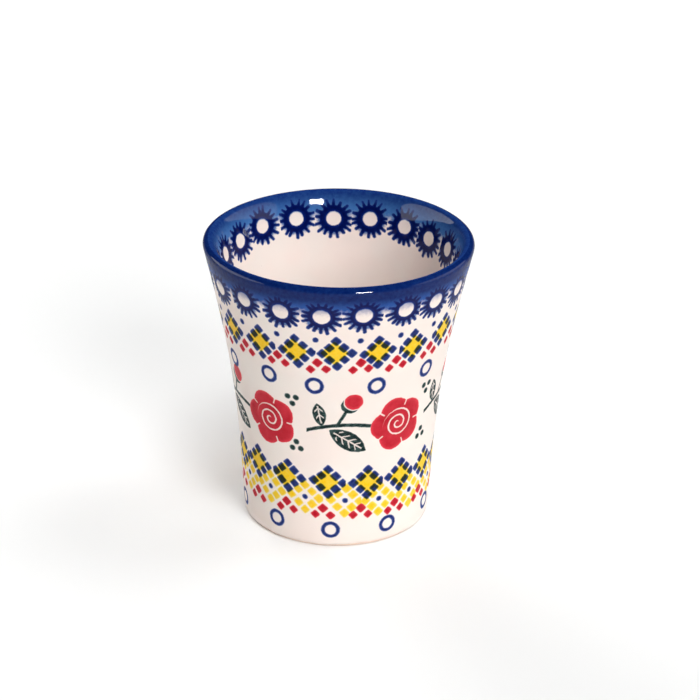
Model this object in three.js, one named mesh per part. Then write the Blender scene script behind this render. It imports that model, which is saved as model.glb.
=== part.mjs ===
// Small flared stoneware tumbler, thrown round and fired in one piece.
//
// Millimetres, +Z up. The origin is the centre of the foot, on the surface the tumbler stands on,
// and the Z axis is its axis of revolution.
//
// Three bodies make up the fired ware:
//   stoneware_body  the clay: wall, floor and the bare foot ring it stands on
//   glaze_coat      the glaze, one skin from just above the foot, over the lip, down to the inner floor
//   base_glaze      the glaze in the recess inside the foot ring
// Glaze and clay meet face to face, so each pair of bodies shares the points of its common surface.

import * as THREE from 'three';

// Driving dimensions.
const HEIGHT = 86.5;
const MOUTH_RADIUS = 39;
const LIP_THICKNESS = 3.1;
const GLAZE_THICKNESS = 0.35;

// Outside of the wall: nearly upright above the foot, flaring from half height up.
const WALL_START_RADIUS = 27.85;
const WALL_START_HEIGHT = 6;
const WALL_START_SLOPE = 0.038;
const WALL_LIP_SLOPE = 0.234;
const WALL_START_HANDLE = 34;
const WALL_LIP_HANDLE = 27;

// Inside of the wall: it thickens from the lip down to the cove over the floor,
// and flares just under the lip.
const COVE_TOP_RADIUS = 24;
const COVE_TOP_HEIGHT = 14;
const COVE_SLOPE = 0.045;
const INNER_LIP_SLOPE = 0.6;
const INNER_START_HANDLE = 30;
const INNER_LIP_HANDLE = 5;
const COVE_RADIUS = 8.5;

// Foot: a bare ring round a shallow recess.
const FOOT_OUTER_RADIUS = 26.65;
const FOOT_INNER_RADIUS = 23;
const FOOT_ROUNDING = 0.5;
const FOOT_FLARE = 0.55;
const HEEL_CONTROL_HEIGHT = 3.6;
const GLAZE_LINE_HEIGHT = 0.9;
const RECESS_DEPTH = 1.6;
const RECESS_WALL_RUN = 1.2;

// Facets.
const SEGMENTS = 60;
const WALL_STEPS = 8;
const LIP_STEP = Math.PI / 4;
const COVE_STEPS = 4;
const HEEL_STEPS = 3;

const CLAY_COLOUR = 0xc9a58c;
const GLAZE_COLOUR = 0xf0e8dc;

// A point of the profile with the direction that faces out of the ware there.
function station(radius, height, normal) {
  return { point: new THREE.Vector2(radius, height), normal };
}

// The point of a station moved along its normal.
function raised({ point, normal }, distance) {
  return point.clone().addScaledVector(normal, distance);
}

// Stations along a curve that is travelled with the ware on its left side.
function alongCurve(curve, steps) {
  const stations = [];
  for (let i = 0; i <= steps; i += 1) {
    const point = curve.getPoint(i / steps);
    const tangent = curve.getTangent(i / steps);
    stations.push(station(point.x, point.y, new THREE.Vector2(tangent.y, -tangent.x)));
  }
  return stations;
}

// A curve between two heights whose ends lean outward by the given slopes (radius per height).
function leaningCurve(start, startSlope, startHandle, end, endSlope, endHandle) {
  const startControl = new THREE.Vector2(start.x + startSlope * startHandle, start.y + startHandle);
  const endControl = new THREE.Vector2(end.x - endSlope * endHandle, end.y - endHandle);
  return new THREE.CubicBezierCurve(start, startControl, endControl, end);
}

// The glazed outside: heel above the glaze line, then the flaring wall up to the lip's round.
const lipRadius = LIP_THICKNESS / 2;
const lipCentre = new THREE.Vector2(MOUTH_RADIUS - lipRadius, HEIGHT - lipRadius);
const lipOuterAngle = -Math.atan(WALL_LIP_SLOPE);
const lipInnerAngle = Math.PI - Math.atan(INNER_LIP_SLOPE);

function onLip(angle) {
  return new THREE.Vector2(
    lipCentre.x + lipRadius * Math.cos(angle),
    lipCentre.y + lipRadius * Math.sin(angle),
  );
}

function heelStations() {
  const glazeLine = new THREE.Vector2(FOOT_OUTER_RADIUS + FOOT_FLARE, GLAZE_LINE_HEIGHT);
  const wallStart = new THREE.Vector2(WALL_START_RADIUS, WALL_START_HEIGHT);
  const control = new THREE.Vector2(
    WALL_START_RADIUS - WALL_START_SLOPE * (WALL_START_HEIGHT - HEEL_CONTROL_HEIGHT),
    HEEL_CONTROL_HEIGHT,
  );
  return alongCurve(new THREE.QuadraticBezierCurve(glazeLine, control, wallStart), HEEL_STEPS);
}

function outerWallStations() {
  const curve = leaningCurve(
    new THREE.Vector2(WALL_START_RADIUS, WALL_START_HEIGHT),
    WALL_START_SLOPE,
    WALL_START_HANDLE,
    onLip(lipOuterAngle),
    WALL_LIP_SLOPE,
    WALL_LIP_HANDLE,
  );
  return alongCurve(curve, WALL_STEPS);
}

// The steps fall on the widest and on the highest point of the round.
function lipStations() {
  const angles = [lipOuterAngle];
  for (let angle = 0; angle < lipInnerAngle; angle += LIP_STEP) {
    angles.push(angle);
  }
  angles.push(lipInnerAngle);
  return angles.map((angle) => {
    const point = onLip(angle);
    return station(point.x, point.y, new THREE.Vector2(Math.cos(angle), Math.sin(angle)));
  });
}

function innerWallStations() {
  const curve = leaningCurve(
    new THREE.Vector2(COVE_TOP_RADIUS, COVE_TOP_HEIGHT),
    COVE_SLOPE,
    INNER_START_HANDLE,
    onLip(lipInnerAngle),
    INNER_LIP_SLOPE,
    INNER_LIP_HANDLE,
  );
  const upward = alongCurve(curve, WALL_STEPS);
  return upward.reverse().map(({ point, normal }) => station(point.x, point.y, normal.negate()));
}

function coveStations() {
  const stations = [];
  const centre = new THREE.Vector2(COVE_TOP_RADIUS - COVE_RADIUS, COVE_TOP_HEIGHT);
  const startAngle = -Math.atan(COVE_SLOPE);
  for (let i = 0; i <= COVE_STEPS; i += 1) {
    const angle = startAngle + ((-Math.PI / 2 - startAngle) * i) / COVE_STEPS;
    const out = new THREE.Vector2(Math.cos(angle), Math.sin(angle));
    const point = centre.clone().addScaledVector(out, COVE_RADIUS);
    stations.push(station(point.x, point.y, out.negate()));
  }
  return stations;
}

// The glazed surface from the glaze line to the middle of the inner floor. Neighbouring stretches
// end and start on the same place, which is kept once.
function glazedStations() {
  const stretches = [heelStations(), outerWallStations(), lipStations(), innerWallStations(), coveStations()];
  const stations = stretches.flatMap((stretch, index) => (index === 0 ? stretch : stretch.slice(1)));
  const floorHeight = stations.at(-1).point.y;
  stations.push(station(0, floorHeight, new THREE.Vector2(0, 1)));
  return stations;
}

const glazed = glazedStations();
const clayFace = glazed.map((each) => raised(each, -GLAZE_THICKNESS));
const glazeFace = glazed.map((each) => each.point);

// The recess under the floor: its slanted side and its flat top, which carries the base glaze.
const recessEdge = new THREE.Vector2(FOOT_INNER_RADIUS - RECESS_WALL_RUN, RECESS_DEPTH);
const recessCentre = new THREE.Vector2(0, RECESS_DEPTH);

// Closed body of revolution about Z from a profile of (radius, height) points.
function revolve(profile) {
  const geometry = new THREE.LatheGeometry(profile, SEGMENTS);
  geometry.rotateX(Math.PI / 2);
  return geometry;
}

function sheen(colour, roughness) {
  return new THREE.MeshStandardMaterial({ color: colour, roughness, metalness: 0 });
}

// The clay: out along the recess's flat top, down round the foot ring, then along the glazed face.
function stonewareBody() {
  const foot = [
    recessCentre,
    recessEdge,
    new THREE.Vector2(FOOT_INNER_RADIUS - FOOT_ROUNDING / 2, FOOT_ROUNDING),
    new THREE.Vector2(FOOT_INNER_RADIUS + FOOT_ROUNDING, 0),
    new THREE.Vector2(FOOT_OUTER_RADIUS - FOOT_ROUNDING, 0),
    new THREE.Vector2(FOOT_OUTER_RADIUS, FOOT_ROUNDING),
  ];
  const mesh = new THREE.Mesh(revolve([...foot, ...clayFace]), sheen(CLAY_COLOUR, 0.85));
  mesh.name = 'stoneware_body';
  return mesh;
}

function glazeCoat() {
  const profile = [...glazeFace, ...clayFace.toReversed(), glazeFace[0]];
  const mesh = new THREE.Mesh(revolve(profile), sheen(GLAZE_COLOUR, 0.12));
  mesh.name = 'glaze_coat';
  return mesh;
}

// A thin disc on the recess's flat top, drawn in from the slanted side at its own edge.
function baseGlaze() {
  const underside = RECESS_DEPTH - GLAZE_THICKNESS;
  const profile = [
    new THREE.Vector2(0, underside),
    new THREE.Vector2(recessEdge.x - GLAZE_THICKNESS, underside),
    recessEdge,
    recessCentre,
  ];
  const mesh = new THREE.Mesh(revolve(profile), sheen(GLAZE_COLOUR, 0.2));
  mesh.name = 'base_glaze';
  return mesh;
}

const tumbler = new THREE.Group();
tumbler.add(stonewareBody(), glazeCoat(), baseGlaze());

export default tumbler;
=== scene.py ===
"""Looks of a small flared stoneware tumbler: glazed, stamped and brushed under the glaze, on a bare foot.

The pieces are surfaces of revolution in metres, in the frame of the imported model. The decoration is
worked out from the place on the wall, as (millimetres round, millimetres up) from each mark's middle.
"""

import math

import bpy
import numpy as np
from mathutils import Matrix, Vector


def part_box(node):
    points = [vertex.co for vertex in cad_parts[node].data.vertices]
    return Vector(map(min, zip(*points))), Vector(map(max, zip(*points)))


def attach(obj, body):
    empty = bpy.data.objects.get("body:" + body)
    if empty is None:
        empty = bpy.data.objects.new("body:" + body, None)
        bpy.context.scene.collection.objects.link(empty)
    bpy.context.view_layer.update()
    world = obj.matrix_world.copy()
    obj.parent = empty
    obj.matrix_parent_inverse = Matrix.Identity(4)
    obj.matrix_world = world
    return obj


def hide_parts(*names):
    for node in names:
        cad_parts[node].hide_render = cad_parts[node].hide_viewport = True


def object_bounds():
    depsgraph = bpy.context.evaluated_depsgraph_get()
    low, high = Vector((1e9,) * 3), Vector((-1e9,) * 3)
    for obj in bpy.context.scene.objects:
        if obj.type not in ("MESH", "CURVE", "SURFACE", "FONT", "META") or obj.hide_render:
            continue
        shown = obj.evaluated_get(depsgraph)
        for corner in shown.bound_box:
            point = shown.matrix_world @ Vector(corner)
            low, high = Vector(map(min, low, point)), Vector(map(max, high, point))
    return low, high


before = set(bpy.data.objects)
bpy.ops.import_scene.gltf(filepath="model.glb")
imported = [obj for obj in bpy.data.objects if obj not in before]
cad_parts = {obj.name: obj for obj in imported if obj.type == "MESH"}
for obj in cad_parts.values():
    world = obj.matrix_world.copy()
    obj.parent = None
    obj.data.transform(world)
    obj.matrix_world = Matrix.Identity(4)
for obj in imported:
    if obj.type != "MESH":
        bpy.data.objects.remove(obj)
cad_low, cad_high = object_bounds()

MM = 0.001

# ---------------------------------------------------------------------------------------------
# Driving sizes, in millimetres
# ---------------------------------------------------------------------------------------------

MOUTH_RADIUS = cad_high.x / MM
HEIGHT = cad_high.z / MM
LIP_RADIUS = 1.55
GLAZE_THICKNESS = 0.35

WALL_START = (27.85, 6.0)
WALL_START_SLOPE, WALL_START_HANDLE = 0.038, 34.0
WALL_LIP_SLOPE, WALL_LIP_HANDLE = 0.234, 27.0
COVE_TOP = (24.0, 14.0)
COVE_SLOPE, COVE_HANDLE = 0.045, 30.0
INNER_LIP_SLOPE, INNER_LIP_HANDLE = 0.6, 5.0
COVE_RADIUS = 8.5
GLAZE_LINE = (27.2, 0.9)
HEEL_CONTROL_HEIGHT = 3.6
FOOT_OUTER_RADIUS = 26.65
FOOT_INNER_RADIUS = 23.0
FOOT_ROUNDING = 0.5
RECESS_DEPTH = 1.6
RECESS_WALL_RUN = 1.2

SEGMENTS = 288
WALL_STEP = 0.9

# Heights where the outer wall changes from one band's material to the next, in plain glaze.
ROSE_BAND = (29.9, 52.9)


# ---------------------------------------------------------------------------------------------
# Profiles and meshes
# ---------------------------------------------------------------------------------------------


def bezier(controls, length):
    """Points along a Bezier curve, about WALL_STEP apart."""
    count = max(3, int(length / WALL_STEP))
    t = np.linspace(0.0, 1.0, count + 1)[:, None]
    order = len(controls) - 1
    return sum(
        math.comb(order, k) * t**k * (1 - t) ** (order - k) * np.array(point, float)
        for k, point in enumerate(controls)
    )


def arc(centre, radius, start, end, count):
    """Points along an arc, in degrees."""
    a = np.radians(np.linspace(start, end, count + 1))[:, None]
    return np.array(centre) + radius * np.hstack([np.cos(a), np.sin(a)])


def leaning(start, start_slope, start_handle, end, end_slope, end_handle):
    """A wall between two places whose ends lean outward by the given slopes."""
    first = (start[0] + start_slope * start_handle, start[1] + start_handle)
    second = (end[0] - end_slope * end_handle, end[1] - end_handle)
    return bezier([start, first, second, end], end[1] - start[1])


def outward(points):
    """The direction square to a profile, to the right of the way it runs."""
    along = np.gradient(points, axis=0)
    along /= np.linalg.norm(along, axis=1)[:, None]
    return np.column_stack([along[:, 1], -along[:, 0]])


def joined(*stretches):
    """Stretches of a profile as one, with each shared end kept once."""
    return np.vstack([stretches[0]] + [s[1:] for s in stretches[1:]])


def glazed_profile():
    """The glazed surface, from the glaze line over the lip to the middle of the inner floor."""
    lip_centre = (MOUTH_RADIUS - LIP_RADIUS, HEIGHT - LIP_RADIUS)
    outer_turn = -math.degrees(math.atan(WALL_LIP_SLOPE))
    inner_turn = 180 - math.degrees(math.atan(INNER_LIP_SLOPE))
    lip = arc(lip_centre, LIP_RADIUS, outer_turn, inner_turn, 18)
    heel_radius = WALL_START[0] - WALL_START_SLOPE * (WALL_START[1] - HEEL_CONTROL_HEIGHT)
    heel = bezier([GLAZE_LINE, (heel_radius, HEEL_CONTROL_HEIGHT), WALL_START], 8.0)
    wall = leaning(WALL_START, WALL_START_SLOPE, WALL_START_HANDLE, lip[0], WALL_LIP_SLOPE, WALL_LIP_HANDLE)
    inner = leaning(COVE_TOP, COVE_SLOPE, COVE_HANDLE, lip[-1], INNER_LIP_SLOPE, INNER_LIP_HANDLE)[::-1]
    cove_centre = (COVE_TOP[0] - COVE_RADIUS, COVE_TOP[1])
    cove = arc(cove_centre, COVE_RADIUS, -math.degrees(math.atan(COVE_SLOPE)), -90, 16)
    floor = np.column_stack([np.linspace(cove[-1][0], 0.0, 12), np.full(12, cove[-1][1])])
    return joined(heel, wall, lip, inner, cove, floor)


def uneven(radius, angle, height):
    """A thrown cup's slight unevenness: it only draws in, so the cup stays inside its nominal size."""
    oval = 0.5 + 0.3 * np.sin(2 * angle + 0.7) + 0.2 * np.sin(3 * angle + height / 25 + 1.9)
    sag = 0.5 + 0.5 * np.sin(2 * angle + 2.2)
    return radius * (1 - 0.0032 * oval), height - 0.22 * sag * np.clip(height / HEIGHT, 0, 1) ** 6


def glaze_edge_wobble(angle, height):
    """How far the hand-wiped edge of the glaze strays up the wall, dying out above it."""
    wave = 0.11 * np.sin(5 * angle + 1.0) + 0.07 * np.sin(11 * angle + 4.0) + 0.04 * np.sin(23 * angle)
    fade = np.clip((6.0 - height) / (6.0 - GLAZE_LINE[1]), 0, 1) * np.clip(height / GLAZE_LINE[1], 0, 1)
    return wave * fade


def revolve(name, profile, band_of=None, wobble=False):
    """A closed, smooth mesh of revolution from a profile that starts and ends on the axis."""
    angle = np.linspace(0, 2 * np.pi, SEGMENTS, endpoint=False)
    points, rings = [], []
    for radius, height in profile:
        if radius < 1e-6:
            rings.append([len(points)])
            points.append((0.0, 0.0, height))
            continue
        r, z = uneven(np.full(SEGMENTS, radius), angle, np.full(SEGMENTS, height))
        if wobble:
            z = z + glaze_edge_wobble(angle, height)
        rings.append(list(range(len(points), len(points) + SEGMENTS)))
        points.extend(zip(r * np.cos(angle), r * np.sin(angle), z))
    faces, bands = [], []
    for (low, high), (start, end) in zip(zip(rings, rings[1:]), zip(profile, profile[1:])):
        band = band_of(start, end) if band_of else 0
        for i in range(SEGMENTS):
            j = (i + 1) % SEGMENTS
            corners = [low[i % len(low)], low[j % len(low)], high[j % len(high)], high[i % len(high)]]
            faces.append(list(dict.fromkeys(corners)))
            bands.append(band)
    mesh = bpy.data.meshes.new(name)
    mesh.from_pydata([Vector(p) * MM for p in points], [], faces)
    mesh.polygons.foreach_set("material_index", bands)
    mesh.polygons.foreach_set("use_smooth", [True] * len(faces))
    mesh.update()
    piece = bpy.data.objects.new(name, mesh)
    bpy.context.scene.collection.objects.link(piece)
    return piece


# ---------------------------------------------------------------------------------------------
# Arithmetic on the nodes of the material being written
# ---------------------------------------------------------------------------------------------


class Field:
    """A number that a material works out at each point. Python's signs add the Math nodes."""

    tree = None

    def __init__(self, socket):
        self.socket = socket

    def __add__(self, other):
        return maths("ADD", self, other)

    __radd__ = __add__

    def __sub__(self, other):
        return maths("SUBTRACT", self, other)

    def __rsub__(self, other):
        return maths("SUBTRACT", other, self)

    def __mul__(self, other):
        return maths("MULTIPLY", self, other)

    __rmul__ = __mul__

    def __truediv__(self, other):
        return maths("DIVIDE", self, other)

    def __neg__(self):
        return maths("MULTIPLY", self, -1.0)

    def __abs__(self):
        return maths("ABSOLUTE", self)


def add_node(kind, **settings):
    node = Field.tree.nodes.new(kind)
    for key, value in settings.items():
        setattr(node, key, value)
    return node


def feed(socket, value):
    """Sets a node's input to a number or colour, or links it to a field or a socket."""
    if isinstance(value, Field):
        value = value.socket
    if isinstance(value, bpy.types.NodeSocket):
        Field.tree.links.new(value, socket)
    else:
        socket.default_value = value


def maths(operation, *values):
    node = add_node("ShaderNodeMath", operation=operation)
    for socket, value in zip(node.inputs, values):
        feed(socket, value)
    return Field(node.outputs[0])


def least(*values):
    result = values[0]
    for value in values[1:]:
        result = maths("MINIMUM", result, value)
    return result


def most(*values):
    result = values[0]
    for value in values[1:]:
        result = maths("MAXIMUM", result, value)
    return result


def vector(x, y, z=0.0):
    node = add_node("ShaderNodeCombineXYZ")
    for socket, value in zip(node.inputs, (x, y, z)):
        feed(socket, value)
    return node.outputs[0]


def length(x, y):
    node = add_node("ShaderNodeVectorMath", operation="LENGTH")
    feed(node.inputs[0], vector(x, y))
    return Field(node.outputs["Value"])


def ramp(value, start, end, low=0.0, high=1.0):
    """A smooth step from low to high as value goes from start to end."""
    node = add_node("ShaderNodeMapRange", interpolation_type="SMOOTHSTEP")
    for socket, item in zip(node.inputs, (value, start, end, low, high)):
        feed(socket, item)
    return Field(node.outputs[0])


def inside(distance, softness=0.10):
    """1 where a signed distance is inside a shape, 0 outside, with a slightly soft edge."""
    return ramp(distance, softness, -softness)


def split(colour_socket):
    node = add_node("ShaderNodeSeparateColor")
    feed(node.inputs[0], colour_socket)
    return [Field(s) for s in node.outputs]


def noise(place, scale, detail=2.0, roughness=0.5):
    """Noise over a place in millimetres, with scale in waves per millimetre: its factor and colour."""
    node = add_node("ShaderNodeTexNoise", noise_dimensions="3D")
    feed(node.inputs["Vector"], place)
    feed(node.inputs["Scale"], scale)
    feed(node.inputs["Detail"], detail)
    feed(node.inputs["Roughness"], roughness)
    return Field(node.outputs["Fac"]), node.outputs["Color"]


def random_of(key):
    """Three random numbers from 0 to 1 that depend only on key."""
    node = add_node("ShaderNodeTexWhiteNoise", noise_dimensions="1D")
    feed(node.inputs["W"], key)
    return split(node.outputs["Color"])


def mixed(factor, first, second, blend="MIX"):
    node = add_node("ShaderNodeMix", data_type="RGBA", blend_type=blend)
    feed(node.inputs[0], factor)
    feed(node.inputs[6], first)
    feed(node.inputs[7], second)
    return node.outputs[2]


def linear(red, green, blue):
    """An 8-bit screen colour as the linear colour that nodes take."""
    shares = [c / 255 for c in (red, green, blue)]
    return tuple(s / 12.92 if s <= 0.0404 else ((s + 0.055) / 1.055) ** 2.4 for s in shares) + (1,)


# ---------------------------------------------------------------------------------------------
# Pigments: what is left of the light after passing through them, thin and thick
# ---------------------------------------------------------------------------------------------

CREAM = linear(243, 228, 220)
BLUE = (linear(62, 98, 182), linear(8, 25, 104))
RAY_BLUE = (linear(48, 84, 168), linear(12, 34, 110))
YELLOW = (linear(255, 244, 122), linear(255, 216, 14))
RED = (linear(230, 62, 82), linear(184, 2, 34))
GREEN = (linear(74, 108, 108), linear(8, 38, 40))
BLEED_BLUE = linear(70, 114, 184)
OUTER_WASH = (linear(40, 80, 152), linear(2, 24, 84))
INNER_WASH = (linear(64, 112, 174), linear(14, 42, 110))


def stamped(colour, mask, depth, pigment, blend="MULTIPLY"):
    """colour under a layer of pigment, thin where depth is 0 and thick where it is 1."""
    return mixed(mask, colour, mixed(depth, *pigment), blend)


class Wall:
    """Where a point of the tumbler lies: degrees round from the front, radius and height in mm."""

    def __init__(self):
        coordinates = add_node("ShaderNodeTexCoord").outputs["Object"]
        scaled = add_node("ShaderNodeVectorMath", operation="SCALE")
        feed(scaled.inputs[0], coordinates)
        feed(scaled.inputs["Scale"], 1 / MM)
        self.place = scaled.outputs[0]
        parts = add_node("ShaderNodeSeparateXYZ")
        feed(parts.inputs[0], self.place)
        x, y, z = [Field(s) for s in parts.outputs]
        self.radius = length(x, y)
        _, wander = noise(self.place, 0.9, 3.0, 0.6)
        sideways, upward, self.grain = split(wander)
        self.cloud, _ = noise(self.place, 0.3, 3.0, 0.55)
        self.height = z + (upward - 0.5) * 0.42
        round_by = maths("ARCTAN2", x, -y) * (180 / math.pi)
        self.angle = round_by + (sideways - 0.5) * 24.0 / self.radius
        self.sine = maths("SINE", maths("RADIANS", round_by))
        self.true_height = z


class Row:
    """A row of like marks round the wall: where a point is from the middle of its nearest mark.

    first is where mark 0 would be in degrees; shift is how far each mark may stray, in mm; rise lifts
    the row's right side and lowers its left; lean and tilt turn the marks, in degrees; origin moves
    the place that is measured from, in degrees.
    """

    def __init__(self, wall, count, first, height, seed, shift, rise=0.0, lean=0.0, tilt=0.0,
                 origin=0.0, radius=None):
        radius = wall.radius if radius is None else radius
        turns = (wall.angle - first) * (count / 360)
        index = maths("ROUND", turns)
        self.key = maths("FLOORED_MODULO", index, count) + seed
        one, two, three = random_of(self.key)
        step = (turns - index) * (2 * math.pi / count) - math.radians(origin)
        across = step * radius + (one - 0.5) * (2 * shift[0])
        level = wall.height - height if not rise else wall.height - height - wall.sine * rise
        up = level + (two - 0.5) * (2 * shift[1])
        if lean or tilt:
            turn = (three - 0.5) * (2 * math.radians(tilt)) + math.radians(lean)
            across, up = across + up * turn, up - across * turn
        self.across, self.up, self.extra = across, up, three


# ---------------------------------------------------------------------------------------------
# Marks: each returns a signed distance in millimetres, negative inside the mark
# ---------------------------------------------------------------------------------------------

STAMP_PITCH = 2.95
STAMP_HALF = 1.25
CORNER_BLEND = 0.9
TRIAD_STEP = 2.22
TRIAD_HALF = 1.26

# A sunburst's pale middle and the outside of its ring, outside and inside the cup.
OUTER_BURST = (2.35, 3.85)
INNER_BURST = (2.15, 4.15)
BLEED_STRENGTH = 0.95
RAYS = 17
BURST_BLEED = 4.85
RAY_REACH = 5.05
RAY_SPREAD = 0.8
RAY_HALF = 0.56

RING_RADIUS = 2.2
RING_HALF = 0.6


def square(x, y, half=STAMP_HALF):
    return maths("SMOOTH_MAX", abs(x), abs(y), CORNER_BLEND) - half


def turned(across, up):
    """Axes turned by 45 degrees."""
    return (across + up) * math.sqrt(0.5), (up - across) * math.sqrt(0.5)


def nearest_cell(x):
    """The offset from, and the number of, the nearest of the cells -1, 0 and 1."""
    number = most(least(maths("ROUND", x / STAMP_PITCH), 1.0), -1.0)
    return x - number * STAMP_PITCH, number


def eight_squares(row):
    """Eight squares round an empty middle, standing on a corner."""
    x, y = turned(row.across, row.up)
    x, column = nearest_cell(x)
    y, line = nearest_cell(y)
    wide, tall, size = random_of(row.key * 9.0 + column * 3.0 + line + 40.5)
    x, y = x + (wide - 0.5) * 0.22, y + (tall - 0.5) * 0.22
    middle = (0.5 - least(abs(column) + abs(line), 1.0)) * 8.0
    return most(square(x, y) + (size - 0.5) * 0.16, middle)


def three_squares(row):
    """One square over two, all standing on a corner, measured from between the lower two."""
    top = square(*turned(row.across, row.up - TRIAD_STEP), TRIAD_HALF)
    low = square(*turned(abs(row.across) - TRIAD_STEP, row.up), TRIAD_HALF * 0.9)
    return least(top, low)


def ring(row):
    return abs(length(row.across, row.up) - RING_RADIUS) - RING_HALF


def dots(row, centres, radius):
    return least(*[length(row.across - x, row.up - y) for x, y in centres]) - radius


def sunburst(row, middle, ring_edge):
    """A ring with a pale middle and uneven rounded rays: its distance, and that from the middle."""
    across, up = row.across * 0.97, row.up * 1.04
    reach = length(across, up)
    around = maths("ARCTAN2", up, across)
    turns = around * (RAYS / (2 * math.pi)) + row.extra
    index = maths("ROUND", turns)
    one, two, three = random_of(maths("FLOORED_MODULO", index, RAYS) + row.key * 31.0)
    off_axis = abs(turns - index + (one - 0.5) * 0.4) * (2 * math.pi / RAYS) * reach
    tip = two * RAY_SPREAD + RAY_REACH
    ray = length(off_axis, most(reach - tip, 0.0)) - RAY_HALF - (three - 0.5) * 0.14
    star = maths("SMOOTH_MIN", ray, reach - ring_edge, 0.5)
    return most(star, middle - reach), reach


# ---------------------------------------------------------------------------------------------
# The glaze
# ---------------------------------------------------------------------------------------------


def new_material(name):
    material = bpy.data.materials.new(name)
    material.use_nodes = True
    Field.tree = material.node_tree
    shader = Field.tree.nodes["Principled BSDF"]
    return material, shader


def glaze_ground(wall):
    """Warm white glaze over stoneware, faintly clouded, with a few iron specks."""
    cloud, _ = noise(wall.place, 0.07, 2.0)
    colour = mixed(ramp(cloud, 0.35, 0.7), CREAM, linear(241, 231, 223))
    speck = add_node("ShaderNodeTexVoronoi", voronoi_dimensions="3D", feature="F1")
    feed(speck.inputs["Vector"], wall.place)
    feed(speck.inputs["Scale"], 0.22)
    chosen, size, _ = split(speck.outputs["Color"])
    spread = Field(speck.outputs["Distance"]) / 0.22
    mask = inside(spread - size * 0.22, 0.09) * maths("GREATER_THAN", chosen, 0.72)
    return mixed(mask * 0.55, colour, linear(120, 92, 74))


def finish_glaze(shader, wall, colour, relief=None):
    """Gives the shader its colour and the wet gloss of a glaze with a slight orange peel."""
    feed(shader.inputs["Base Color"], colour)
    fine, _ = noise(wall.place, 0.55, 3.0, 0.55)
    roughness = ramp(fine, 0.3, 0.7, 0.16, 0.26)
    feed(shader.inputs["Roughness"], roughness)
    shader.inputs["IOR"].default_value = 1.5
    shader.inputs["Specular IOR Level"].default_value = 0.0
    shader.inputs["Coat Weight"].default_value = 0.3
    shader.inputs["Coat Roughness"].default_value = 0.035
    shader.inputs["Coat IOR"].default_value = 1.5
    peel, _ = noise(wall.place, 0.35, 2.0, 0.4)
    height = peel if relief is None else peel + relief * 0.35
    bump = add_node("ShaderNodeBump")
    bump.inputs["Strength"].default_value = 0.35
    bump.inputs["Distance"].default_value = 0.04 * MM
    feed(bump.inputs["Height"], height)
    feed(shader.inputs["Normal"], bump.outputs[0])
    feed(shader.inputs["Coat Normal"], bump.outputs[0])


def rim_colour(wall, colour, row, burst_size, wash, pigment, strength):
    """Sunbursts under a cobalt wash that deepens towards the lip. Returns colour and stamp mask.

    wash holds the heights where the wash starts, covers all and is deepest, and the share of it that
    runs into the sunbursts' pale middles. strength is how much of the bleeding round each one shows.
    """
    middle, ring_edge = burst_size
    wash_low, wash_high, deepest, veil = wash
    distance, reach = sunburst(row, middle, ring_edge)
    ragged = reach + (wall.grain - 0.5) * 1.6
    bleed = ramp(ragged, BURST_BLEED + 0.6, BURST_BLEED - 0.6) * ramp(reach, middle - 0.1, middle + 0.3)
    colour = mixed(bleed * strength, colour, BLEED_BLUE, "MULTIPLY")
    core = ramp(distance, 0.0, -0.5) * ramp(reach, middle + 0.2, middle + 1.0, 0.2, 1.0)
    core = core * (wall.grain + 0.3)
    burst = inside(distance, 0.17)
    colour = stamped(colour, burst, core, RAY_BLUE)
    body = ramp(wall.height + (wall.grain - 0.5) * 2.2, wash_low, wash_high)
    depth = ramp(wall.true_height, wash_high - 0.5, deepest) * 0.9 + (wall.grain - 0.5) * 0.5
    kept = ramp(reach, middle + 0.2, middle - 0.4, 1.0, veil)
    colour = stamped(colour, body * kept, least(most(depth, 0.0), 1.0), pigment, "DARKEN")
    return colour, most(burst, body)


def pressed(colour, wall, distance, pigment, softness=0.17):
    """A sponge-stamped mark, denser away from its edge and a little patchy."""
    mask = inside(distance, softness)
    depth = ramp(distance, 0.1, -0.55) * (wall.grain * 0.9 + 0.4)
    return stamped(colour, mask, depth, pigment), mask


def diamond_marks(wall, row, colour):
    """A brushed yellow patch, then eight blue squares round it."""
    side, up, _ = random_of(row.key + 0.5)
    x, y = turned(row.across + (side - 0.5) * 1.5 + 0.45, row.up + (up - 0.5) * 1.1 - 0.25)
    colour, _ = pressed(colour, wall, square(x, y, 2.95), YELLOW)
    return pressed(colour, wall, eight_squares(row), BLUE)


def ring_row(wall, colour):
    row = Row(wall, 12, -8.7, 54.6, 1833, (2.0, 0.92))
    return pressed(colour, wall, ring(row), BLUE)


def upper_marks(wall, colour):
    """Diamonds with yellow middles, red triads and small dots, under the rim."""
    row = Row(wall, 18, 0.27, 65.2, 9613, (1.37, 0.59), lean=2.5, tilt=3)
    colour, blue = diamond_marks(wall, row, colour)
    row = Row(wall, 18, 10.8, 59.9, 6167, (0.59, 0.87), lean=2.0, tilt=3)
    colour, red = pressed(colour, wall, three_squares(row), RED)
    row = Row(wall, 18, 10.75, 69.5, 1165, (0.79, 0.39))
    colour, dot = pressed(colour, wall, length(row.across, row.up) - 0.92, BLUE)
    colour, rings = ring_row(wall, colour)
    return colour, most(blue, red, dot, rings)


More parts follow.
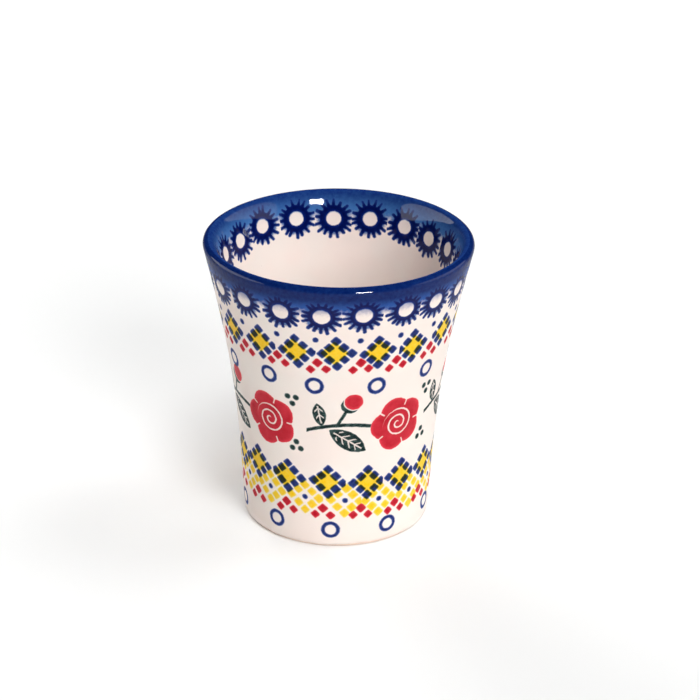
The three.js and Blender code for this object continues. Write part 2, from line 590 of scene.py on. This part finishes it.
def lower_marks(wall, colour):
    """Diamonds, a second row of yellow squares round blue dots, red triads and rings."""
    row = Row(wall, 16, 3.93, 15.7, 3943, (0.86, 0.36), rise=-1.05, lean=-1.0, tilt=2)
    colour, one = pressed(colour, wall, eight_squares(row), YELLOW)
    colour, two = pressed(colour, wall, length(row.across, row.up - 0.1) - 0.87, BLUE)
    row = Row(wall, 16, -8.0, 10.9, 3463, (0.5, 0.3), rise=-0.5, tilt=2)
    colour, three = pressed(colour, wall, three_squares(row), RED)
    row = Row(wall, 16, -5.52, 22.0, 5307, (0.94, 0.36), rise=-1.05, lean=-1.0, tilt=2)
    colour, four = diamond_marks(wall, row, colour)
    row = Row(wall, 10, -2.47, 6.3, 3479, (0.44, 0.49))
    colour, five = pressed(colour, wall, ring(row), BLUE)
    return colour, most(one, two, three, four, five)


# ---------------------------------------------------------------------------------------------
# The flower spray, in millimetres from the middle of the flower: a plain five-petalled flower with
# a spiral, a stem, a bud and two pointed leaves
# ---------------------------------------------------------------------------------------------

SPRAY_RADIUS = 30.67
SPRAY_ORIGIN = 18.2

PETALS = 5
FLOWER_RADIUS = 7.3
PETAL_BULGE = 1.5
SPIRAL_PITCH = 2.1
SPIRAL_REACH = 4.9
PALE_LINE = 0.23

# The stem is an arc over this centre, from left of the leaves to the flower's edge.
STEM_CENTRE, STEM_ARC = (-16.0, -28.0), 29.7
STEM_RUN = (-27.5, -7.0)
STEM_HALF = 0.6
BUD, BUD_RADIUS = (-14.0, 9.4), 2.6
CALYX, CALYX_RADIUS = (-15.0, 8.2), 2.6
STALK_FOOT = (-18.5, 1.6)
VEIN_STEP = 2.3


def within(value, low, high):
    """Negative between low and high."""
    return most(low - value, value - high)


def flower(x, y):
    """A round flower with petals of equal width, and the pale spiral and petal lines left in it."""
    reach = length(x, y)
    around = maths("ARCTAN2", y, x)
    petal = abs(maths("SINE", around * (PETALS / 2)))
    edge = reach - petal * PETAL_BULGE - FLOWER_RADIUS
    turns = reach / SPIRAL_PITCH - around / (2 * math.pi)
    spiral = abs(turns - maths("ROUND", turns)) * SPIRAL_PITCH - PALE_LINE
    spiral = most(spiral, within(reach, 0.5, SPIRAL_REACH))
    between = petal * reach * (2 / PETALS) - PALE_LINE * 0.8
    between = most(between, within(reach, SPIRAL_REACH + 0.9, FLOWER_RADIUS + PETAL_BULGE))
    return edge, least(spiral, between)


def stroke(x, y, start, end, half):
    """A straight brushed line with round ends."""
    run = (end[0] - start[0], end[1] - start[1])
    share = ((x - start[0]) * run[0] + (y - start[1]) * run[1]) * (1 / (run[0] ** 2 + run[1] ** 2))
    share = least(most(share, 0.0), 1.0)
    return length(x - start[0] - share * run[0], y - start[1] - share * run[1]) - half


def leaf(x, y, middle, turn, half_length, half_width):
    """A pointed oval where two equal circles overlap, and the pale rib and veins left in it."""
    cosine, sine = math.cos(math.radians(turn)), math.sin(math.radians(turn))
    x, y = x - middle[0], y - middle[1]
    along, aside = x * cosine + y * sine, abs(y * cosine - x * sine)
    offset = (half_length**2 - half_width**2) / (2 * half_width)
    edge = length(along, aside + offset) - (offset + half_width)
    rib = most(aside - PALE_LINE * 0.85, abs(along) - half_length * 0.75)
    slant = (along + aside) * (1 / VEIN_STEP)
    veins = abs(slant - maths("ROUND", slant)) * VEIN_STEP * math.sqrt(0.5) - PALE_LINE * 0.75
    veins = most(veins, aside - half_width * 0.6, abs(along) - half_length * 0.55)
    return edge, least(rib, veins)


def stems(x, y):
    """The stem, the bud's stalk and the crescent of the calyx under the bud."""
    main = abs(length(x - STEM_CENTRE[0], y - STEM_CENTRE[1]) - STEM_ARC) - STEM_HALF
    main = most(main, within(x, *STEM_RUN))
    stalk = stroke(x, y, STALK_FOOT, CALYX, STEM_HALF * 0.8)
    calyx = length(x - CALYX[0], y - CALYX[1]) - CALYX_RADIUS
    return most(least(main, least(stalk, calyx)), BUD_RADIUS + 0.25 - length(x - BUD[0], y - BUD[1]))


def spray_marks(wall, colour):
    row = Row(
        wall, 5, 34.39 - SPRAY_ORIGIN, 39.7, 3337, (0.52, 0.22), origin=SPRAY_ORIGIN, radius=SPRAY_RADIUS
    )
    x, y = row.across, row.up
    petals, lines = flower(x, y)
    red = least(petals, length(x - BUD[0], y - BUD[1]) - BUD_RADIUS)
    mask = inside(red, 0.14) * (1.0 - inside(lines, 0.13) * 0.9)
    depth = ramp(red, 0.2, -1.3) * (wall.cloud * 1.1 + 0.1)
    colour = stamped(colour, mask, depth, RED)
    large, large_veins = leaf(x, y, (-15.4, -3.6), 146, 6.6, 2.9)
    small, small_veins = leaf(x, y, (-23.6, 5.0), 100, 3.9, 1.9)
    green = least(stems(x, y), large, small)
    pale = inside(least(large_veins, small_veins), 0.14)
    print_mask = inside(green, 0.13) * (1.0 - pale * 0.85) * (1.0 - inside(red, 0.14))
    streak, _ = noise(vector(x * 0.35 + y * 0.35, y - x * 0.5), 0.8, 3.0, 0.6)
    depth = ramp(green, 0.15, -0.4) * ramp(streak, 0.35, 0.6, 0.45, 1.1)
    colour = stamped(colour, print_mask, depth, GREEN)
    return colour, most(mask, print_mask)


def rose_marks(wall, colour):
    colour, spray = spray_marks(wall, colour)
    row = Row(wall, 5, 51.09, 48.9, 4708, (1.68, 0.32))
    colour, high = pressed(colour, wall, dots(row, [(-1.3, 0.1), (1.3, 0.1), (0.1, -2.1)], 0.93), GREEN)
    row = Row(wall, 5, 51.93, 32.0, 4708, (1.37, 0.16))
    colour, low = pressed(colour, wall, dots(row, [(-1.3, 0.0), (1.3, 0.1), (0.0, 2.2)], 0.93), GREEN)
    colour, rings = ring_row(wall, colour)
    return colour, most(spray, high, low, rings)


def rim_material():
    material, shader = new_material("glaze_rim_band")
    wall = Wall()
    colour = glaze_ground(wall)
    colour, marks = upper_marks(wall, colour)
    row = Row(wall, 20, 10.98, 77.5, 9139, (1.14, 0.58))
    wash = (77.2, 80.2, 83.2, 0.6)
    colour, rim = rim_colour(wall, colour, row, OUTER_BURST, wash, OUTER_WASH, BLEED_STRENGTH)
    finish_glaze(shader, wall, colour, most(marks, rim))
    return material


def rose_material():
    material, shader = new_material("glaze_rose_band")
    wall = Wall()
    colour, marks = rose_marks(wall, glaze_ground(wall))
    finish_glaze(shader, wall, colour, marks)
    return material


def foot_material():
    material, shader = new_material("glaze_foot_band")
    wall = Wall()
    colour, marks = lower_marks(wall, glaze_ground(wall))
    finish_glaze(shader, wall, colour, marks)
    return material


def inner_material():
    material, shader = new_material("glaze_inside")
    wall = Wall()
    row = Row(wall, 19, -101.0, 78.5, 8972, (1.36, 0.85))
    wash = (78.2, 81.2, 86.3, 0.05)
    colour = glaze_ground(wall)
    colour, rim = rim_colour(wall, colour, row, INNER_BURST, wash, INNER_WASH, BLEED_STRENGTH)
    finish_glaze(shader, wall, colour, rim)
    return material


def plain_glaze_material():
    material, shader = new_material("glaze_plain")
    wall = Wall()
    finish_glaze(shader, wall, glaze_ground(wall))
    return material


def clay_material():
    """Bare fired clay: pinkish, fine-grained and dry."""
    material, shader = new_material("bare_clay")
    wall = Wall()
    broad, _ = noise(wall.place, 0.15, 3.0)
    grain, _ = noise(wall.place, 4.0, 3.0, 0.65)
    colour = mixed(ramp(broad, 0.3, 0.7), linear(232, 206, 190), linear(220, 188, 168))
    colour = mixed(ramp(grain, 0.35, 0.75), colour, linear(240, 218, 202))
    feed(shader.inputs["Base Color"], colour)
    feed(shader.inputs["Roughness"], ramp(grain, 0.3, 0.7, 0.72, 0.92))
    bump = add_node("ShaderNodeBump")
    bump.inputs["Strength"].default_value = 0.6
    bump.inputs["Distance"].default_value = 0.06 * MM
    feed(bump.inputs["Height"], grain)
    feed(shader.inputs["Normal"], bump.outputs[0])
    return material


# ---------------------------------------------------------------------------------------------
# The pieces
# ---------------------------------------------------------------------------------------------


def make_glaze():
    glazed = glazed_profile()
    inner_edge = glazed[0] + (-GLAZE_THICKNESS - 0.1, 0.06)
    closing = [(0.0, 3.0), (20.0, 3.0), (inner_edge[0] - 0.4, 1.9), tuple(inner_edge)]
    top = int(np.argmax(glazed[:, 1]))
    top_height = glazed[top][1]

    def band_of(start, end):
        middle = ((start[0] + end[0]) / 2, (start[1] + end[1]) / 2)
        going_down = end[1] < start[1] or (middle[0] < COVE_TOP[0] and middle[1] > 3.2)
        if going_down and middle[0] < MOUTH_RADIUS - LIP_RADIUS and middle[1] > 5.0:
            return 3
        if middle[1] > ROSE_BAND[1]:
            return 0
        return 1 if middle[1] > ROSE_BAND[0] else 2

    piece = revolve("tumbler_glaze", closing + [tuple(p) for p in glazed], band_of, wobble=True)
    for material in (rim_material(), rose_material(), foot_material(), inner_material()):
        piece.data.materials.append(material)
    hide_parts("glaze_coat")
    return piece


def make_clay():
    glazed = glazed_profile()
    under = glazed - outward(glazed) * GLAZE_THICKNESS
    under[-1] = (0.0, glazed[-1][1] - GLAZE_THICKNESS)
    recess_edge = (FOOT_INNER_RADIUS - RECESS_WALL_RUN, RECESS_DEPTH)
    foot = [(0.0, RECESS_DEPTH), (recess_edge[0] * 0.5, RECESS_DEPTH), recess_edge]
    foot += [(FOOT_INNER_RADIUS - 0.25, FOOT_ROUNDING), (FOOT_INNER_RADIUS - 0.05, 0.2)]
    foot += [(FOOT_INNER_RADIUS + 0.2, 0.04), (FOOT_INNER_RADIUS + FOOT_ROUNDING, 0.0)]
    turn = arc((FOOT_OUTER_RADIUS - FOOT_ROUNDING, FOOT_ROUNDING), FOOT_ROUNDING, -90, -10, 6)
    piece = revolve("tumbler_clay", foot + [tuple(p) for p in turn] + [tuple(p) for p in under])
    piece.data.materials.append(clay_material())
    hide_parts("stoneware_body")
    return piece


def make_base_glaze():
    low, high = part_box("base_glaze")
    under, top, radius = low.z / MM, high.z / MM, high.x / MM
    profile = [(0.0, under), (radius * 0.6, under), (radius - 1.2, under + 0.02)]
    profile += [(radius - 0.6, under + 0.08), (radius - 0.25, under + 0.2), (radius, top), (0.0, top)]
    piece = revolve("recess_glaze", profile)
    piece.data.materials.append(plain_glaze_material())
    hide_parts("base_glaze")
    return piece


for piece in (make_glaze(), make_clay(), make_base_glaze()):
    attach(piece, "root")


# ---------------------------------------------------------------------------------------------
# Stage, light and camera
# ---------------------------------------------------------------------------------------------

FLOOR_RADIUS = 3.0


def make_floor():
    mesh = bpy.data.meshes.new("floor")
    count = 96
    angles = [2 * math.pi * i / count for i in range(count)]
    ring_points = [(FLOOR_RADIUS * math.cos(a), FLOOR_RADIUS * math.sin(a), 0) for a in angles]
    mesh.from_pydata(ring_points, [], [list(range(count))])
    floor = bpy.data.objects.new("floor", mesh)
    bpy.context.scene.collection.objects.link(floor)
    material, shader = new_material("floor_white")
    shader.inputs["Base Color"].default_value = (0.85, 0.855, 0.85, 1)
    shader.inputs["Roughness"].default_value = 0.7
    shader.inputs["Specular IOR Level"].default_value = 0.2
    shader.inputs["Emission Color"].default_value = (1, 1, 1, 1)
    shader.inputs["Emission Strength"].default_value = 0.08
    mesh.materials.append(material)


def make_world():
    """White to the camera, dim to everything else, so the lamps do the lighting."""
    world = bpy.data.worlds.new("studio")
    world.use_nodes = True
    Field.tree = world.node_tree
    background = Field.tree.nodes["Background"]
    background.inputs["Color"].default_value = (1, 1, 1, 1)
    path = add_node("ShaderNodeLightPath")
    feed(background.inputs["Strength"], Field(path.outputs["Is Camera Ray"]) * 0.98 + 0.02)
    bpy.context.scene.world = world


def toward(azimuth, elevation):
    """The direction of a lamp seen from the cup: azimuth 0 is the front and 90 the right, in degrees."""
    a, e = math.radians(azimuth), math.radians(elevation)
    return Vector((math.cos(e) * math.sin(a), -math.cos(e) * math.cos(a), math.sin(e)))


def place_lamp(name, light, azimuth, elevation, distance, seen_in_gloss=True, lights_up=True):
    lamp = bpy.data.objects.new(name, light)
    lamp.visible_glossy = seen_in_gloss
    lamp.visible_diffuse = lights_up
    bpy.context.scene.collection.objects.link(lamp)
    direction = toward(azimuth, elevation)
    lamp.location = Vector((0, 0, 0.06)) + direction * distance
    lamp.rotation_mode = "QUATERNION"
    lamp.rotation_quaternion = direction.to_track_quat("Z", "Y")


def far_lamp(name, azimuth, elevation, strength, width, seen_in_gloss=True):
    """A broad lamp so far off that it lights the whole floor evenly; width is in degrees."""
    light = bpy.data.lights.new(name, "SUN")
    light.energy = strength
    light.angle = math.radians(width)
    place_lamp(name, light, azimuth, elevation, 2.0, seen_in_gloss=seen_in_gloss)


def reflected_light(name, azimuth, elevation, power, size, shape):
    """A lamp a metre off that is only seen as a bright reflection in the gloss."""
    light = bpy.data.lights.new(name, "AREA")
    light.shape = shape
    light.size, light.size_y = size
    light.energy = power
    place_lamp(name, light, azimuth, elevation, 1.0, lights_up=False)


# The camera looks down on the cup from the front; it is a long lens, slightly off level.
CAMERA_TARGET = Vector((3.62, 0.0, 50.58)) * MM
CAMERA_DISTANCE = 730.2 * MM
CAMERA_ELEVATION = math.radians(24.80)
CAMERA_ROLL = math.radians(0.69)
CAMERA_LENS = 128.57


def make_camera():
    data = bpy.data.cameras.new("camera")
    data.lens = CAMERA_LENS
    data.sensor_width = 36.0
    data.clip_start, data.clip_end = 0.05, 20.0
    camera = bpy.data.objects.new("camera", data)
    bpy.context.scene.collection.objects.link(camera)
    back = Vector((0, -math.cos(CAMERA_ELEVATION), math.sin(CAMERA_ELEVATION)))
    level = Vector((1, 0, 0))
    upright = back.cross(level)
    right = math.cos(CAMERA_ROLL) * level + math.sin(CAMERA_ROLL) * upright
    up = math.cos(CAMERA_ROLL) * upright - math.sin(CAMERA_ROLL) * level
    turn = Matrix((right, up, back)).transposed().to_4x4()
    turn.translation = CAMERA_TARGET + back * CAMERA_DISTANCE
    camera.matrix_world = turn
    bpy.context.scene.camera = camera


make_floor()
make_world()
far_lamp("front", 29, 28, 1.52, 26, seen_in_gloss=False)
far_lamp("top", 12, 66, 1.45, 26, seen_in_gloss=False)
far_lamp("right", 105, 52, 0.94, 30, seen_in_gloss=False)
far_lamp("back_left", 210, 15, 2.41, 40, seen_in_gloss=False)
far_lamp("back_right", 150, 15, 0.60, 26, seen_in_gloss=False)
reflected_light("front_window", 21.5, 19.5, 24.0, (0.22, 0.08), "RECTANGLE")
reflected_light("left_panel", -95, 14, 9.0, (1.3, 0.55), "ELLIPSE")
reflected_light("right_panel", 95, 14, 5.0, (1.3, 0.55), "ELLIPSE")
make_camera()
bpy.context.scene.view_settings.view_transform = "Standard"
